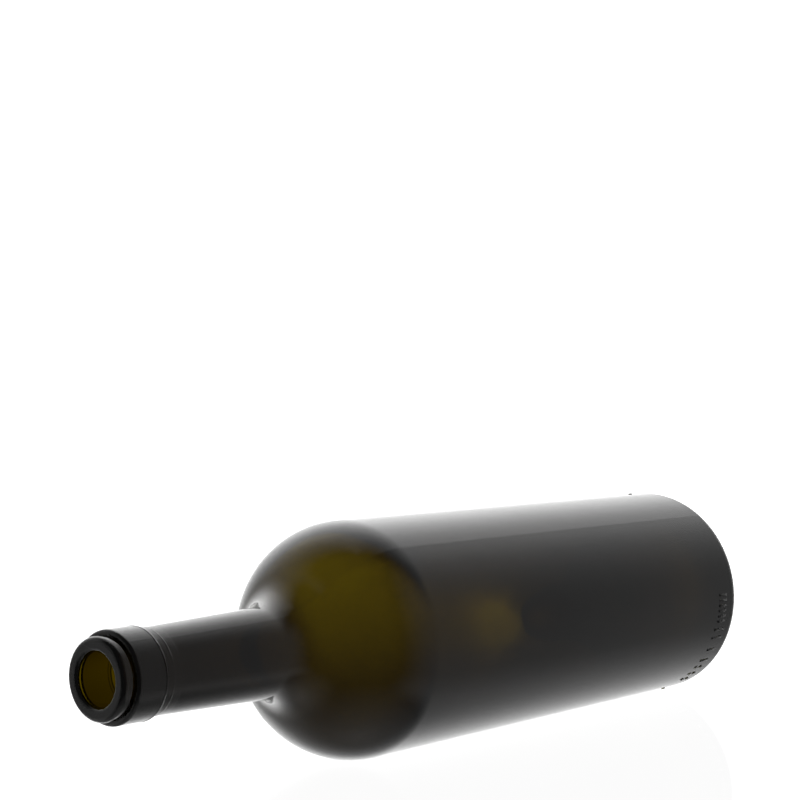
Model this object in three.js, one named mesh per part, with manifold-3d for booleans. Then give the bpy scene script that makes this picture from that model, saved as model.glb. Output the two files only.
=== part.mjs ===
// An empty wine bottle of dark green glass with high round shoulders, lying on its side.
// Millimetres. The bottle lies along X with its mouth towards -X and its base towards +X, +Z is up,
// and the origin is on the floor under the middle of the bottle.

import * as THREE from 'three';
import { mergeVertices } from 'three/addons/utils/BufferGeometryUtils.js';
import Module from 'manifold-3d';

const wasm = await Module();
wasm.setup();

// Driving dimensions. Heights are along the bottle's axis from its base, as if it stood.
const bottleLength = 291;
const shoulderRadius = 39.25; // the widest place, where the body meets the shoulder
const shoulderHeight = bottleLength - 107.8;
const shoulderRound = 31.3;
const heelRadius = 38.6; // the body narrows a little towards the base
const heelRound = 5.2;
const neckRadius = 14.4; // at the foot of the neck
const neckFillet = 18; // the hollow curve between neck and shoulder
const neckTopRadius = 13.2;

// The ring below the mouth
const ringRadius = 14.1;
const ringBottom = bottleLength - 15.8;
const ringTop = bottleLength - 4.3;
const ringTopEdge = 1.2;
const ringBottomEdge = 0.4;
const ringStep = 0.4; // how far the ring stands out from the hollow curve at its foot
const ringFoot = bottleLength - 18;

// The lip above the ring
const lipRadius = 12.45;
const lipEdge = 1.6;
const lipInnerEdge = 1.1;
const boreRadius = 8.3;
const corkDepth = 45;
const corkEndRadius = 9.2;

// The glass and the base
const wall = 3.8;
const baseThickness = 7;
const innerHeelRound = 8;
const puntDepth = 20;
const puntRadius = 29.5;

// Relief of the mould: two seams, and a row of raised bars and dots just above the heel
const seamHeight = 0.15;
const seamWidth = 0.6;
const seamTurn = -36.3; // degrees round from the top, towards the front
const seamBottom = 8;
const markHeight = 0.4;
const markRow = 12.2; // from the base to the middle of the row
const barWidth = 0.9;
const shortBar = 4.7;
const spacedBar = 5.3;
const longBar = 6.5;
const dotRadius = 0.9;
const dotSpread = 1.6; // from the middle of the row to each dot of a pair
const bury = 1; // how deep the relief reaches into the glass that carries it

// The lower side is flattened just enough for the bottle to lie still
const flatDepth = 0.12;

const sides = 60;

// Points on an arc in the plane of the outline, where x is the distance from the axis.
function arc(centreX, centreY, radius, startDegrees, endDegrees, steps) {
  return Array.from({ length: steps + 1 }, (_, i) => {
    const angle = THREE.MathUtils.degToRad(THREE.MathUtils.lerp(startDegrees, endDegrees, i / steps));
    return new THREE.Vector2(centreX + radius * Math.cos(angle), centreY + radius * Math.sin(angle));
  });
}

// The shoulder's arc and the fillet's arc meet on the line between their centres.
const shoulderCentre = new THREE.Vector2(shoulderRadius - shoulderRound, shoulderHeight);
const filletAcross = neckRadius + neckFillet - shoulderCentre.x;
const filletUp = Math.sqrt((shoulderRound + neckFillet) ** 2 - filletAcross ** 2);
const filletCentre = shoulderCentre.clone().add(new THREE.Vector2(filletAcross, filletUp));
const sweep = THREE.MathUtils.radToDeg(Math.atan2(filletUp, filletAcross));

// Shoulder and foot of the neck, raised from the outer surface or, below zero, sunk into the glass.
function shoulderLine(raise) {
  return [
    ...arc(shoulderCentre.x, shoulderCentre.y, shoulderRound + raise, 0, sweep, 9),
    ...arc(filletCentre.x, filletCentre.y, neckFillet - raise, 180 + sweep, 180, 5).slice(1),
  ];
}

// The punt's surface, half a wave from its top on the axis down to its foot.
function puntLine(footRadius, floor, steps) {
  return Array.from({ length: steps + 1 }, (_, i) => {
    const share = i / steps;
    const rise = puntDepth * (0.5 + 0.5 * Math.cos(Math.PI * share));
    return new THREE.Vector2(footRadius * share, floor + rise);
  });
}

// From the neck out to the edge of the ring, up its side and in over its top.
function ringLine() {
  const bottomEdgeX = ringRadius - ringBottomEdge;
  const topEdgeX = ringRadius - ringTopEdge;
  return [
    new THREE.Vector2(neckTopRadius, ringFoot),
    new THREE.Vector2(ringRadius - ringStep, ringBottom),
    ...arc(bottomEdgeX, ringBottom + ringBottomEdge, ringBottomEdge, -90, 0, 2),
    ...arc(topEdgeX, ringTop - ringTopEdge, ringTopEdge, 0, 90, 3),
  ];
}

// Up the outside of the lip, over it, and down the bore to where a cork would end.
function lipLine() {
  const innerEdgeX = boreRadius + lipInnerEdge;
  return [
    new THREE.Vector2(lipRadius, ringTop),
    ...arc(lipRadius - lipEdge, bottleLength - lipEdge, lipEdge, 0, 90, 4),
    ...arc(innerEdgeX, bottleLength - lipInnerEdge, lipInnerEdge, 90, 180, 3),
    new THREE.Vector2(corkEndRadius, bottleLength - corkDepth),
  ];
}

// The outline of the glass, from the underside of the base round the outside and back down the inside.
function glassOutline() {
  const innerHeelX = heelRadius - wall - innerHeelRound;
  return [
    ...puntLine(puntRadius, 0, 7),
    ...arc(heelRadius - heelRound, heelRound, heelRound, -90, 0, 5),
    ...shoulderLine(0),
    ...ringLine(),
    ...lipLine(),
    ...shoulderLine(-wall).reverse(),
    ...arc(innerHeelX, baseThickness + innerHeelRound, innerHeelRound, 0, -90, 4),
    ...puntLine(innerHeelX, baseThickness, 6).reverse().slice(1),
  ];
}

// Joins the vertices that coincide, and drops the triangles that vanish on the axis.
function toSolid(geometry) {
  geometry.deleteAttribute('normal');
  geometry.deleteAttribute('uv');
  const merged = mergeVertices(geometry, 1e-4);
  const index = merged.index.array;
  const triangles = [];
  for (let i = 0; i < index.length; i += 3) {
    const [a, b, c] = index.slice(i, i + 3);
    if (a !== b && b !== c && c !== a) triangles.push(a, b, c);
  }
  return new wasm.Manifold(
    new wasm.Mesh({
      numProp: 3,
      vertProperties: new Float32Array(merged.attributes.position.array),
      triVerts: new Uint32Array(triangles),
    }),
  );
}

function toGeometry(solid) {
  const mesh = solid.getMesh();
  const geometry = new THREE.BufferGeometry();
  geometry.setAttribute('position', new THREE.BufferAttribute(mesh.vertProperties, 3));
  geometry.setIndex(new THREE.BufferAttribute(mesh.triVerts, 1));
  geometry.computeVertexNormals();
  return geometry;
}

// Turns a piece made on the +X side of the axis to its place, in degrees from what will be the top.
function turnRound(geometry, degrees) {
  return geometry.rotateY(THREE.MathUtils.degToRad(degrees - 90));
}

// A mould seam, a thin ridge that follows the outside from the heel to the ring.
function seam(degrees) {
  const ridge = new THREE.Shape([
    new THREE.Vector2(heelRadius + seamHeight, seamBottom),
    ...shoulderLine(seamHeight),
    new THREE.Vector2(neckTopRadius + seamHeight, ringFoot),
    new THREE.Vector2(neckTopRadius - bury, ringFoot),
    ...shoulderLine(-bury).reverse(),
    new THREE.Vector2(heelRadius - bury, seamBottom),
  ]);
  const geometry = new THREE.ExtrudeGeometry(ridge, { depth: seamWidth, bevelEnabled: false });
  return turnRound(geometry.translate(0, 0, -seamWidth / 2), degrees);
}

// A raised bar of the mould's code, lying along the bottle.
function bar(degrees, barLength) {
  const geometry = new THREE.BoxGeometry(bury + markHeight, barLength, barWidth);
  return turnRound(geometry.translate(heelRadius + (markHeight - bury) / 2, markRow, 0), degrees);
}

// A raised round dot of the mould's code, so far along the bottle from the middle of the row.
function dot(degrees, along) {
  const geometry = new THREE.CylinderGeometry(dotRadius, dotRadius, bury + markHeight, 10);
  geometry.rotateZ(Math.PI / 2).translate(heelRadius + (markHeight - bury) / 2, markRow + along, 0);
  return turnRound(geometry, degrees);
}

// The mould's code, read down the front of the heel: short, long and spaced bars, then pairs of dots.
function mouldCode() {
  const shortBars = [87, 90, 93, 96, 99, 102].map((degrees) => bar(-degrees, shortBar));
  const longBars = [107, 112].map((degrees) => bar(-degrees, longBar));
  const spacedBars = [120, 128].map((degrees) => bar(-degrees, spacedBar));
  const pairs = [134, 140, 146].flatMap((degrees) => [dot(-degrees, -dotSpread), dot(-degrees, dotSpread)]);
  const endDots = [dot(-162, 0), dot(6, 0)];
  return [...shortBars, ...longBars, ...spacedBars, ...pairs, ...endDots];
}

// A quarter turn lays the standing bottle down, and its taper then tips it so that its side lies level.
function layDown(geometry) {
  const taper = Math.atan((shoulderRadius - heelRadius) / (shoulderHeight - heelRound));
  return geometry.rotateZ(Math.PI / 2).rotateY(taper);
}

function makeBottle() {
  const relief = [seam(seamTurn), seam(seamTurn + 180), ...mouldCode()];
  let standing = toSolid(new THREE.LatheGeometry(glassOutline(), sides));
  for (const piece of relief) standing = standing.add(toSolid(piece));

  const lying = layDown(toGeometry(standing));
  lying.computeBoundingBox();
  const middle = lying.boundingBox.getCenter(new THREE.Vector3());
  lying.translate(-middle.x, -middle.y, -lying.boundingBox.min.z - flatDepth);

  const floor = new THREE.BoxGeometry(2 * bottleLength, 2 * shoulderRadius, shoulderRadius);
  floor.translate(0, 0, -shoulderRadius / 2);
  return toGeometry(toSolid(lying).subtract(toSolid(floor)));
}

const darkGlass = new THREE.MeshStandardMaterial({ color: '#1d1e0e', roughness: 0.05, metalness: 0 });

const bottle = new THREE.Mesh(makeBottle(), darkGlass);
bottle.name = 'bottle';

const wineBottle = new THREE.Group();
wineBottle.add(bottle);

export default wineBottle;
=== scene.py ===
"""An empty wine bottle of very dark olive glass, lying on its side in a plain white studio.

Everything is in metres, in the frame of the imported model. The bottle lies along X with its mouth
towards -X and its base towards +X, Z is up, and the floor is at Z = 0.
"""

import math

import bpy
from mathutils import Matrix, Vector, noise


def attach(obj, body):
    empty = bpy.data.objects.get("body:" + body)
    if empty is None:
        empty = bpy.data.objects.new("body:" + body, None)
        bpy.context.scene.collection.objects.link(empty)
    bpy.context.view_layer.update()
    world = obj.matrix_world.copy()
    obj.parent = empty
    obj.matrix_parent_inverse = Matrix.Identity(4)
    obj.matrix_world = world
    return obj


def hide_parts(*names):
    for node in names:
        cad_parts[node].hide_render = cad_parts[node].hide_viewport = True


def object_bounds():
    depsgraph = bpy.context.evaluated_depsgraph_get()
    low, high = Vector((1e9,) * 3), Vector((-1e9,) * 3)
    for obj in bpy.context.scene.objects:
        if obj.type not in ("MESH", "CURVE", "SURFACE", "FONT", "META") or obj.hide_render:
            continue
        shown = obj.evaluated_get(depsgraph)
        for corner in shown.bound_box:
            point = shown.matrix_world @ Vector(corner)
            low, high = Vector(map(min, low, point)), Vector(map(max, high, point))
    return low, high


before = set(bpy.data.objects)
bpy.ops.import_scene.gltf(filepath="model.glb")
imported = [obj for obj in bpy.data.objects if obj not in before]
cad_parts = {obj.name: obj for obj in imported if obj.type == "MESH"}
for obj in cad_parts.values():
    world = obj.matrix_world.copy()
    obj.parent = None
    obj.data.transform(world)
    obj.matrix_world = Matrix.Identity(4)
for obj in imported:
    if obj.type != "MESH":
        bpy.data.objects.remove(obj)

cad_low, cad_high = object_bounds()


# The bottle's glass
# One piece of dark olive glass, blown in a two-part mould and open at the mouth. Its outline is
# traced once, over the outside, the lip and the inside, and then turned round the bottle's axis.

MM = 0.001

bottle_length = 291 * MM
shoulder_radius = 39.25 * MM
shoulder_height = bottle_length - 107.8 * MM
shoulder_round = 31.3 * MM
heel_radius = 38.6 * MM
heel_round = 5.2 * MM
neck_radius = 14.4 * MM
neck_fillet = 18 * MM
neck_top_radius = 13.2 * MM
side_end = 0.05 * MM  # the short step at both ends of a straight side

ring_radius = 14.1 * MM
ring_bottom = bottle_length - 15.8 * MM
ring_top = bottle_length - 4.3 * MM
ring_top_edge = 1.2 * MM
ring_bottom_edge = 0.3 * MM
ring_corner = 0.25 * MM

bead_height = ring_bottom - 3 * MM
bead_width = 0.5 * MM
bead_rise = 0.06 * MM
ring_line_rise = 0.12 * MM
turned_lines = 3
turned_spacing = 0.9 * MM
turned_rise = 0.012 * MM

lip_radius = 12.45 * MM
lip_edge = 1.6 * MM
lip_inner_edge = 1.3 * MM
bore_radius = 8.1 * MM
cork_depth = 45 * MM
cork_end_radius = 9.2 * MM

wall = 3.8 * MM
base_thickness = 7 * MM
inner_heel_round = 8 * MM
punt_depth = 20 * MM
punt_radius = 29.5 * MM

seam_turn = -36.3  # degrees from the top, and minus is towards the front
near_seam, near_seam_steps = 12, 12  # how far to each side of a seam, in degrees
on_seam, on_seam_steps = 1.2, 8  # the same for its middle, which takes the closest steps
plain_steps = 76
merge_distance = 0.001 * MM


def place(height, radius):
    """The point at this height above the base and this far from the axis, at the outline's turn."""
    turn = math.radians(seam_turn - near_seam)
    return Vector((bottle_length / 2 - height, radius * math.sin(turn), radius * math.cos(turn)))


def start_outline(height, radius):
    """A mesh of one vertex, selected, from which the outline is drawn."""
    bpy.ops.object.select_all(action="DESELECT")
    bpy.ops.mesh.primitive_plane_add(size=MM, location=(0, 0, 0))
    drawn = bpy.context.object
    bpy.ops.object.mode_set(mode="EDIT")
    bpy.ops.mesh.select_all(action="SELECT")
    bpy.ops.mesh.merge(type="CENTER")
    bpy.ops.transform.translate(value=place(height, radius))
    drawn["pen"] = (height, radius)
    return drawn


def line_to(drawn, height, radius, steps=1):
    """Draws a straight stretch of the outline from where it ends now."""
    move = (place(height, radius) - place(*drawn["pen"])) / steps
    for _ in range(steps):
        bpy.ops.mesh.extrude_region_move(TRANSFORM_OT_translate={"value": move})
    drawn["pen"] = (height, radius)


def side_to(drawn, height, radius, steps=1):
    """Draws a straight side with a very short step at both ends, so that it shows flat between them."""
    start_height, start_radius = drawn["pen"]
    up, across = height - start_height, radius - start_radius
    share = side_end / math.hypot(up, across)
    line_to(drawn, start_height + up * share, start_radius + across * share)
    line_to(drawn, height - up * share, radius - across * share, steps)
    line_to(drawn, height, radius)


def arc_round(drawn, height, radius, degrees, steps):
    """Draws an arc about a centre. Positive degrees go from facing outwards to facing the mouth."""
    pen_height, pen_radius = drawn["pen"]
    reach = math.hypot(pen_height - height, pen_radius - radius)
    begin = math.atan2(pen_height - height, pen_radius - radius)
    for step in range(1, steps + 1):
        angle = begin + math.radians(degrees) * step / steps
        line_to(drawn, height + reach * math.sin(angle), radius + reach * math.cos(angle))


def punt_wave(drawn, foot_radius, floor, steps, outwards):
    """Draws the punt's surface, half a wave between its top on the axis and its foot."""
    for step in range(1, steps + 1):
        share = step / steps if outwards else 1 - step / steps
        rise = punt_depth * (0.5 + 0.5 * math.cos(math.pi * share))
        line_to(drawn, floor + rise, foot_radius * share)


def bead(drawn, height, rise):
    """Draws a fine round ridge on the neck or the ring, which runs all the way round the bottle."""
    foot = drawn["pen"][1]
    for share in (-1, -0.5, 0, 0.5, 1):
        line_to(drawn, height + share * bead_width / 2, foot + rise * math.cos(share * math.pi / 2) ** 2)


shoulder_x = shoulder_radius - shoulder_round
fillet_across = neck_radius + neck_fillet - shoulder_x
fillet_up = math.sqrt((shoulder_round + neck_fillet) ** 2 - fillet_across ** 2)
fillet_height = shoulder_height + fillet_up
fillet_x = neck_radius + neck_fillet
sweep = math.degrees(math.atan2(fillet_up, fillet_across))
inner_heel_height = base_thickness + inner_heel_round
inner_heel_x = heel_radius - wall - inner_heel_round

# The outside, from the punt over the heel and the shoulder to the neck
bottle = start_outline(punt_depth, 0)
punt_wave(bottle, punt_radius, floor=0, steps=22, outwards=True)
side_to(bottle, 0, heel_radius - heel_round, steps=3)
arc_round(bottle, heel_round, heel_radius - heel_round, degrees=90, steps=14)
side_to(bottle, shoulder_height, shoulder_radius, steps=34)
arc_round(bottle, shoulder_height, shoulder_x, degrees=sweep, steps=30)
arc_round(bottle, fillet_height, fillet_x, degrees=-sweep, steps=18)

# The top of the neck with its fine lines, and the ring
side_to(bottle, bead_height - (turned_lines + 1) * turned_spacing, neck_top_radius, steps=9)
for line in range(turned_lines, 0, -1):
    bead(bottle, bead_height - line * turned_spacing, turned_rise)
bead(bottle, bead_height, bead_rise)
side_to(bottle, ring_bottom - ring_corner, neck_top_radius, steps=3)
arc_round(bottle, ring_bottom - ring_corner, neck_top_radius + ring_corner, degrees=-90, steps=4)
side_to(bottle, ring_bottom, ring_radius - ring_bottom_edge)
arc_round(bottle, ring_bottom + ring_bottom_edge, ring_radius - ring_bottom_edge, degrees=90, steps=5)
bead(bottle, ring_bottom + ring_bottom_edge + bead_width, ring_line_rise)
side_to(bottle, ring_top - ring_top_edge, ring_radius, steps=3)
arc_round(bottle, ring_top - ring_top_edge, ring_radius - ring_top_edge, degrees=90, steps=8)

# The lip
side_to(bottle, ring_top, lip_radius)
side_to(bottle, bottle_length - lip_edge, lip_radius, steps=2)
arc_round(bottle, bottle_length - lip_edge, lip_radius - lip_edge, degrees=90, steps=8)
side_to(bottle, bottle_length, bore_radius + lip_inner_edge)
arc_round(bottle, bottle_length - lip_inner_edge, bore_radius + lip_inner_edge, degrees=90, steps=8)

# The bore, and the inside down to the base, in short steps that let its wall be uneven
side_to(bottle, bottle_length - cork_depth, cork_end_radius, steps=8)
line_to(bottle, fillet_height, neck_radius - wall, steps=4)
arc_round(bottle, fillet_height, fillet_x, degrees=sweep, steps=20)
arc_round(bottle, shoulder_height, shoulder_x, degrees=-sweep, steps=30)
line_to(bottle, inner_heel_height, heel_radius - wall, steps=50)
arc_round(bottle, inner_heel_height, inner_heel_x, degrees=-90, steps=10)
punt_wave(bottle, inner_heel_x, floor=base_thickness, steps=20, outwards=False)
bpy.ops.mesh.select_all(action="SELECT")


def turn_round(degrees, steps):
    """Spins the outline's selected end round the bottle's axis, from the front over the top."""
    bpy.ops.mesh.spin(steps=steps, angle=math.radians(degrees), center=(0, 0, 0), axis=(1, 0, 0))


for _ in range(2):
    turn_round(near_seam - on_seam, near_seam_steps)
    turn_round(2 * on_seam, on_seam_steps)
    turn_round(near_seam - on_seam, near_seam_steps)
    turn_round(180 - 2 * near_seam, plain_steps)
bpy.ops.mesh.select_all(action="SELECT")
bpy.ops.mesh.remove_doubles(threshold=merge_distance)
bpy.ops.mesh.normals_make_consistent(inside=False)
bpy.ops.object.mode_set(mode="OBJECT")
del bottle["pen"]
bottle.name = bottle.data.name = "bottle_glass"


# The uneven wall
# Blown glass is never even. This wall is thin in a belt round the shoulder and in two soft hollows at
# the front of the body, and the light shows olive through them. The rest of the front is thick and
# black. Only the inside is moved, so the outline stays as it is.

thinnest = 1.3 * MM
soft_limit = 0.15 * MM  # how softly the glass stops getting thinner
far_from_limit = 30  # so many soft limits away it makes no difference
belt_height, belt_to_neck, belt_to_base = 203.6 * MM, 15.7 * MM, 22 * MM
belt_turn, belt_wide, belt_depth = -47, 98, 2.7 * MM
body_end, body_end_soft = 183 * MM, 7 * MM
front_turn, front_wide, front_thicker = -70, 88, 1.5 * MM
back_turn, back_wide, back_thinner = 47, 43, 1.3 * MM
hollows = (
    {"height": 160 * MM, "half": 26 * MM, "turn": -80, "wide": 21, "depth": 2.1 * MM},
    {"height": 143 * MM, "half": 25 * MM, "turn": -87, "wide": 25, "depth": 2.7 * MM},
)
floor_end, floor_soft = base_thickness + punt_depth, 25 * MM
ripple_size, ripple_depth = 15 * MM, 0.12 * MM


def where(vertex):
    """A vertex's height above the base, its turn from the top in degrees, and whether it is inside."""
    turn = math.degrees(math.atan2(vertex.co.y, vertex.co.z))
    facing = vertex.normal.y * vertex.co.y + vertex.normal.z * vertex.co.z
    return bottle_length / 2 - vertex.co.x, turn, facing < 0


def apart(turn, other):
    """The degrees between two turns, the short way round."""
    return (turn - other + 180) % 360 - 180


def hill(distance, wide):
    """A soft hill, 1 at no distance and nearly 0 at twice the width that is given."""
    return math.exp(-(distance / wide) ** 2)


def hollowed(vertex, height, turn):
    """How much thinner than the plain wall the glass is here."""
    on_body = 1 / (1 + math.exp((height - body_end) / body_end_soft))
    if height > belt_height:
        in_belt = math.exp(-((height - belt_height) / belt_to_neck) ** 4)
    else:
        in_belt = hill(height - belt_height, belt_to_base)
    thinner = belt_depth * in_belt * hill(apart(turn, belt_turn), belt_wide)
    thinner += back_thinner * on_body * hill(apart(turn, back_turn), back_wide)
    thinner -= front_thicker * on_body * hill(apart(turn, front_turn), front_wide)
    for hollow in hollows:
        along = hill(height - hollow["height"], hollow["half"])
        thinner += hollow["depth"] * along * hill(apart(turn, hollow["turn"]), hollow["wide"])
    thinner += ripple_depth * noise.noise(vertex.co / ripple_size)
    left = (wall - thinner - thinnest) / soft_limit
    above_thinnest = soft_limit * (left if left > far_from_limit else math.log1p(math.exp(left)))
    above_floor = min(1, (height - floor_end) / floor_soft)
    return above_floor * (wall - thinnest - above_thinnest)


# All the moves are worked out before the first one is made, because they change the normals.
moves = []
for vertex in bottle.data.vertices:
    height, turn, inside = where(vertex)
    if inside and floor_end < height < fillet_height + belt_to_neck:
        moves.append((vertex, -vertex.normal * hollowed(vertex, height, turn)))
for vertex, move in moves:
    vertex.co += move


# The mould's seams
# The two halves of the mould meet along two straight lines, from the heel to the ring. The glass
# rises very slightly towards them from both sides, which shows as a fine step in the reflections.

seam_slope = 0.042
seam_spread = 3.2  # degrees
seam_start = 2 * MM
seam_full = 8 * MM

moves = []
for vertex in bottle.data.vertices:
    height, turn, inside = where(vertex)
    if not inside and seam_start < height < ring_top:
        nearest = min(abs(apart(turn, seam_turn)), abs(apart(turn, seam_turn + 180)))
        radius = math.hypot(vertex.co.y, vertex.co.z)
        rise = seam_slope * radius * math.radians(seam_spread) * math.exp(-nearest / seam_spread)
        below = (height - seam_start) / (seam_full - seam_start)
        above = (ring_top - height) / ring_top_edge
        moves.append((vertex, vertex.normal * rise * min(below, above, 1)))
for vertex, move in moves:
    vertex.co += move


# The mould's code
# A row of raised bars and dots that the mould leaves just above the heel, down the front. They are
# part of the glass, round-edged, and stand 0.4 mm proud of it.

mark_height = 0.4 * MM
mark_root = 1 * MM  # how deep a mark reaches into the glass
mark_row = 12.2 * MM  # from the base to the middle of the row
mark_edge = 0.3 * MM
bar_width = 0.9 * MM
short_bar = 4.7 * MM
spaced_bar = 5.3 * MM
long_bar = 6.5 * MM
dot_radius = 0.9 * MM
dot_spread = 1.6 * MM
short_bar_turns = (-87, -90, -93, -96, -99, -102)
long_bar_turns = (-107, -112)
spaced_bar_turns = (-120, -128)
dot_pair_turns = (-134, -140, -146)
lone_dot_turns = (-162, 6)
facing_up = 0.9  # how much of a face's normal points up


def round_top(mark):
    """Rounds the edges of a mark's outer face, which points up, and lifts the mark to the heel's top."""
    for face in mark.data.polygons:
        face.select = face.normal.z > facing_up
    bpy.ops.object.mode_set(mode="EDIT")
    bpy.ops.mesh.bevel(offset=mark_edge, segments=4, affect="EDGES")
    bpy.ops.mesh.select_all(action="SELECT")
    up = heel_radius + (mark_height - mark_root) / 2
    bpy.ops.transform.translate(value=(bottle_length / 2 - mark_row, 0, up))
    bpy.ops.object.mode_set(mode="OBJECT")
    return mark


def raised_bar(length):
    """A raised bar that lies along the bottle."""
    bpy.ops.object.select_all(action="DESELECT")
    bpy.ops.mesh.primitive_cube_add(size=1, location=(0, 0, 0))
    bpy.ops.object.mode_set(mode="EDIT")
    bpy.ops.transform.resize(value=(length, bar_width, mark_root + mark_height))
    bpy.ops.mesh.select_all(action="DESELECT")
    bpy.ops.object.mode_set(mode="OBJECT")
    return round_top(bpy.context.object)


def raised_dot():
    """A raised round dot."""
    bpy.ops.object.select_all(action="DESELECT")
    depth = mark_root + mark_height
    bpy.ops.mesh.primitive_cylinder_add(vertices=24, radius=dot_radius, depth=depth, location=(0, 0, 0))
    return round_top(bpy.context.object)


def stamp(mark, turn, along=0):
    """A copy of a mark at its place in the row, with its own mesh, turned so far from the top."""
    copy = mark.copy()
    copy.data = mark.data.copy()
    bpy.context.collection.objects.link(copy)
    copy.rotation_euler.x = -math.radians(turn)
    copy.location.x = -along
    return copy


bar_of = {length: raised_bar(length) for length in (short_bar, spaced_bar, long_bar)}
dot = raised_dot()
marks = [stamp(bar_of[short_bar], turn) for turn in short_bar_turns]
marks += [stamp(bar_of[long_bar], turn) for turn in long_bar_turns]
marks += [stamp(bar_of[spaced_bar], turn) for turn in spaced_bar_turns]
marks += [stamp(dot, turn, along) for turn in dot_pair_turns for along in (-dot_spread, dot_spread)]
marks += [stamp(dot, turn) for turn in lone_dot_turns]
for pattern in (*bar_of.values(), dot):
    bpy.data.objects.remove(pattern)

bpy.ops.object.select_all(action="DESELECT")
for mark in marks:
    mark.select_set(True)
bpy.context.view_layer.objects.active = marks[0]
bpy.ops.object.join()
code = bpy.context.object

bpy.ops.object.select_all(action="DESELECT")
bottle.select_set(True)
bpy.context.view_layer.objects.active = bottle
union = bottle.modifiers.new("mould_code", "BOOLEAN")
union.operation = "UNION"
union.solver = "MANIFOLD"
union.object = code
bpy.ops.object.modifier_apply(modifier=union.name)
bpy.data.objects.remove(code)


# The bottle as it lies
# The body narrows a little towards its base, so the bottle tips until its lower side lies level, and
# it rests there on a narrow flat strip. Its surface and its colour follow once it lies in its place.

smooth_angle = 35

taper = math.atan((shoulder_radius - heel_radius) / (shoulder_height - heel_round))
bottle.rotation_euler = (0, taper, 0)
bpy.ops.object.transform_apply(location=False, rotation=True, scale=False)
corners = [bottle.matrix_world @ Vector(corner) for corner in bottle.bound_box]
low_x, high_x = min(c.x for c in corners), max(c.x for c in corners)
high_z = max(c.z for c in corners)
bottle.location = ((cad_low.x + cad_high.x - low_x - high_x) / 2, 0, cad_high.z - high_z)
bpy.ops.object.transform_apply(location=True, rotation=False, scale=False)

for vertex in bottle.data.vertices:
    vertex.select = vertex.co.z < 0
for item in (*bottle.data.edges, *bottle.data.polygons):
    item.select = False
bpy.ops.object.mode_set(mode="EDIT")
bpy.ops.transform.resize(value=(1, 1, 0), center_override=(0, 0, 0))
bpy.ops.object.mode_set(mode="OBJECT")
bpy.ops.object.shade_smooth_by_angle(angle=math.radians(smooth_angle))

# Dark olive glass. It takes nearly all the blue out of the light and a little more green than red,
# so it looks black where it is thick. Its skin is very slightly wavy and hazy in places.
glass_ior = 1.52
red_loss, green_loss, blue_loss = 620, 695, 2200  # per metre of glass
wave_size, wave_depth = 22 * MM, 0.05 * MM
grain_size, grain_depth = 1.6 * MM, 0.001 * MM
haze_size, haze_from, haze_full = 30 * MM, 0.42, 0.68
clear_roughness, hazy_roughness = 0.0, 0.02
clear_tint, smoky_tint = (0.97, 0.975, 0.93, 1), (0.90, 0.90, 0.80, 1)

glass = bpy.data.materials.new("dark_olive_glass")
glass.use_nodes = True
nodes, links = glass.node_tree.nodes, glass.node_tree.links
shader = nodes["Principled BSDF"]
shader.inputs["IOR"].default_value = glass_ior
shader.inputs["Transmission Weight"].default_value = 1
on_bottle = nodes.new("ShaderNodeTexCoord")


def spots(size, detail):
    """Soft spots of about this size, all over the glass."""
    node = nodes.new("ShaderNodeTexNoise")
    links.new(on_bottle.outputs["Object"], node.inputs["Vector"])
    node.inputs["Scale"].default_value = 1 / size
    node.inputs["Detail"].default_value = detail
    return node.outputs["Fac"]


def bump(height, depth, under=None):
    """A relief so deep, from a height between 0 and 1, on top of another one."""
    node = nodes.new("ShaderNodeBump")
    node.inputs["Strength"].default_value = 1
    node.inputs["Distance"].default_value = depth
    links.new(height, node.inputs["Height"])
    if under is not None:
        links.new(under, node.inputs["Normal"])
    return node.outputs["Normal"]


haze = nodes.new("ShaderNodeMapRange")
haze.interpolation_type = "SMOOTHSTEP"
haze.inputs["From Min"].default_value = haze_from
haze.inputs["From Max"].default_value = haze_full
links.new(spots(haze_size, detail=4), haze.inputs["Value"])
roughness = nodes.new("ShaderNodeMapRange")
roughness.inputs["To Min"].default_value = clear_roughness
roughness.inputs["To Max"].default_value = hazy_roughness
links.new(haze.outputs["Result"], roughness.inputs["Value"])
links.new(roughness.outputs["Result"], shader.inputs["Roughness"])

tint = nodes.new("ShaderNodeMix")
tint.data_type = "RGBA"
tint.inputs["A"].default_value = clear_tint
tint.inputs["B"].default_value = smoky_tint
links.new(spots(wave_size, detail=2), tint.inputs["Factor"])
links.new(tint.outputs["Result"], shader.inputs["Base Color"])

waves = bump(spots(wave_size, detail=1), wave_depth)
links.new(bump(spots(grain_size, detail=2), grain_depth, under=waves), shader.inputs["Normal"])

absorb = nodes.new("ShaderNodeVolumeAbsorption")
absorb.inputs["Color"].default_value = (1 - red_loss / blue_loss, 1 - green_loss / blue_loss, 0, 1)
absorb.inputs["Density"].default_value = blue_loss
links.new(absorb.outputs["Volume"], nodes["Material Output"].inputs["Volume"])
bottle.data.materials.clear()
bottle.data.materials.append(glass)

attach(bottle, "root")
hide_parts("bottle")


# The floor
# A wide sheet of glossy white acrylic, which shows clear white with a faint mirror image of the
# bottle. Only the camera sees it: what it would throw on the glass is part of the light below.

floor_size = 60  # metres, so that it reaches the horizon
floor_glow = 0.96
acrylic_ior = 1.45
acrylic_roughness = 0.0

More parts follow.
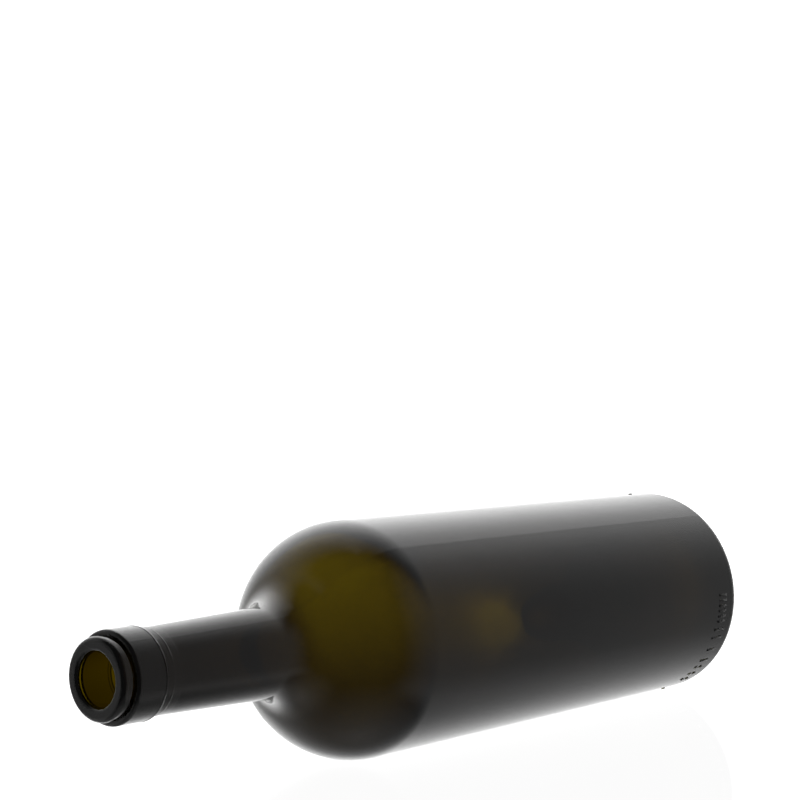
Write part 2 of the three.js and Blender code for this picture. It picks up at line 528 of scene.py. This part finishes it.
bpy.ops.object.select_all(action="DESELECT")
bpy.ops.mesh.primitive_plane_add(size=floor_size, location=(0, 0, 0))
floor = bpy.context.object
floor.name = "floor"
acrylic = bpy.data.materials.new("white_acrylic")
acrylic.use_nodes = True
nodes, links = acrylic.node_tree.nodes, acrylic.node_tree.links
nodes.remove(nodes["Principled BSDF"])
glow = nodes.new("ShaderNodeEmission")
glow.inputs["Color"].default_value = (1, 1, 1, 1)
glow.inputs["Strength"].default_value = floor_glow
mirror = nodes.new("ShaderNodeBsdfGlossy")
mirror.inputs["Roughness"].default_value = acrylic_roughness
fresnel = nodes.new("ShaderNodeFresnel")
fresnel.inputs["IOR"].default_value = acrylic_ior
links.new(fresnel.outputs["Fac"], mirror.inputs["Color"])
both = nodes.new("ShaderNodeAddShader")
links.new(glow.outputs["Emission"], both.inputs[0])
links.new(mirror.outputs["BSDF"], both.inputs[1])
links.new(both.outputs["Shader"], nodes["Material Output"].inputs["Surface"])
floor.data.materials.append(acrylic)
floor.visible_diffuse = floor.visible_glossy = floor.visible_transmission = False
floor.visible_shadow = False


# The light
# A wide, soft, bright area behind the bottle lights it, and the white table under and behind it
# does too. The walls to the camera's right and left are dimmer, and the camera's own side is dark.

back_light = 1.53
softbox_light = 0.3
table_light = 1.12
right_wall_light = 0.28
left_wall_light = 0.28
under_light = 0.44
room_light = 0.07
background_light = 1.2

# Where each area ends, by turn from the base's end over the back and by rise from level, in degrees.
# A pair gives the angle at which an edge has faded out, and the one at which the light is full.
behind_turns, behind_rises = [(-44, 60), (153, 29)], [(108, 22)]
back_foot, softbox_foot = (-30, -1.5), (9, 22)
table_turns, table_rises = [(-33, 59), (169, 40)], [(-8, -29), (-74, -25)]
right_wall_turns, right_wall_rises = [(-113, -54), (91, 73)], [(84, 25), (-50, -34)]
left_wall_turns, left_wall_rises = [(100, 135), (179, 160)], [(60, 25), (-60, -20)]
straight_down, under_end = -90, -23

world = bpy.data.worlds.new("studio")
world.use_nodes = True
bpy.context.scene.world = world
nodes, links = world.node_tree.nodes, world.node_tree.links


def calculate(operation, first, second=None):
    """A Math node of the world's light, fed by sockets or numbers."""
    node = nodes.new("ShaderNodeMath")
    node.operation = operation
    for socket, value in zip(node.inputs, (first, second)):
        if isinstance(value, bpy.types.NodeSocket):
            links.new(value, socket)
        elif value is not None:
            socket.default_value = value
    return node.outputs[0]


def fade(angle, dark, bright):
    """A soft edge that goes from none at one angle to all of the light at another, in degrees."""
    node = nodes.new("ShaderNodeMapRange")
    node.interpolation_type = "SMOOTHSTEP"
    links.new(angle, node.inputs["Value"])
    node.inputs["From Min"].default_value = math.radians(min(dark, bright))
    node.inputs["From Max"].default_value = math.radians(max(dark, bright))
    node.inputs["To Min"].default_value = float(dark > bright)
    node.inputs["To Max"].default_value = float(dark < bright)
    return node.outputs["Result"]


def product(*factors):
    """The product of several sockets or numbers."""
    result = factors[0]
    for factor in factors[1:]:
        result = calculate("MULTIPLY", result, factor)
    return result


def area(turn_edges, rise_edges):
    """How much of an area of light is seen, between its soft edges by turn and by rise."""
    by_turn = [fade(turn, *edge) for edge in turn_edges]
    by_rise = [fade(rise, *edge) for edge in rise_edges]
    return product(*by_turn, *by_rise)


direction = nodes.new("ShaderNodeTexCoord")
split = nodes.new("ShaderNodeSeparateXYZ")
links.new(direction.outputs["Generated"], split.inputs["Vector"])
turn = calculate("ARCTAN2", split.outputs["Y"], split.outputs["X"])
rise = calculate("ARCSINE", split.outputs["Z"])

behind = area(behind_turns, behind_rises)
back = product(behind, fade(rise, *back_foot), back_light)
softbox = product(behind, fade(rise, *softbox_foot), softbox_light)
table = product(area(table_turns, table_rises), table_light)
right_wall = area(right_wall_turns, right_wall_rises)
left_wall = area(left_wall_turns, left_wall_rises)
under = nodes.new("ShaderNodeMapRange")
links.new(rise, under.inputs["Value"])
under.inputs["From Min"].default_value = math.radians(straight_down)
under.inputs["From Max"].default_value = math.radians(under_end)
under.inputs["To Min"].default_value = under_light
under.inputs["To Max"].default_value = 0
above = calculate("ADD", back, softbox)
below = calculate("ADD", table, under.outputs["Result"])
parts = calculate("ADD", above, below)
walls = calculate("ADD", product(right_wall, right_wall_light), product(left_wall, left_wall_light))
parts = calculate("MAXIMUM", calculate("ADD", parts, walls), room_light)
path = nodes.new("ShaderNodeLightPath")
background = calculate("MULTIPLY", path.outputs["Is Camera Ray"], background_light)
shown = calculate("MAXIMUM", parts, background)
links.new(shown, nodes["Background"].inputs["Strength"])
nodes["Background"].inputs["Color"].default_value = (1, 1, 1, 1)

bpy.context.scene.view_settings.view_transform = "Standard"


# The camera
# It looks along the bottle from beyond its mouth and from the front, a little higher than the glass,
# through a long lens that keeps the far end nearly as large as the near one.

camera_place = Vector((-510.2, -427.35, 134.75)) * MM
camera_forward = Vector((0.75916, 0.65036, -0.02680))
camera_roll = 0.066  # degrees
camera_lens, camera_sensor = 87.64, 36  # millimetres
nearest_shown, farthest_shown = 0.01, 200  # metres

bpy.ops.object.camera_add(location=camera_place)
camera = bpy.context.object
camera.rotation_euler = camera_forward.to_track_quat("-Z", "Y").to_euler()
camera.rotation_euler.rotate_axis("Z", math.radians(camera_roll))
camera.data.lens = camera_lens
camera.data.sensor_width = camera_sensor
camera.data.clip_start = nearest_shown
camera.data.clip_end = farthest_shown
bpy.context.scene.camera = camera
